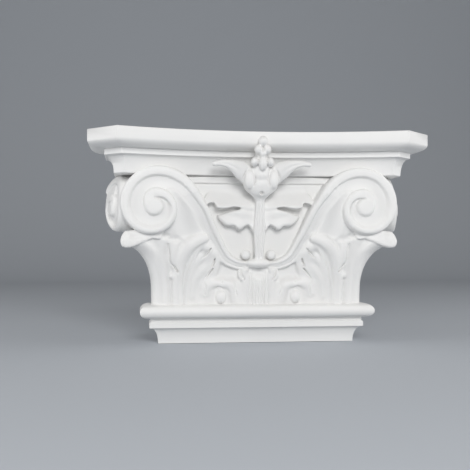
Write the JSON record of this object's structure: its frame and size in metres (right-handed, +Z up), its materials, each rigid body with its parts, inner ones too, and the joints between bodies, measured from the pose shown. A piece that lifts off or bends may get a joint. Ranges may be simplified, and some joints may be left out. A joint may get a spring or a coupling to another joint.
{
  "type": "corinthian pilaster capital",
  "caption": "Flat-backed Corinthian pilaster capital with concave abacus, corner volutes, acanthus leaves and a central flower.",
  "frame": {"origin": "centre of the flat back, in the plane of the wall, at half the height", "axes": "+X along the width to the right seen from the front, -Y out of the wall to the front, +Z up"},
  "size_m": [0.338, 0.087, 0.21],
  "materials": {
    "white_casting": "factory primed matt white moulded foam"
  },
  "bodies": {
    "root": {"pilaster_capital": "white_casting"}
  },
  "joints": []
}
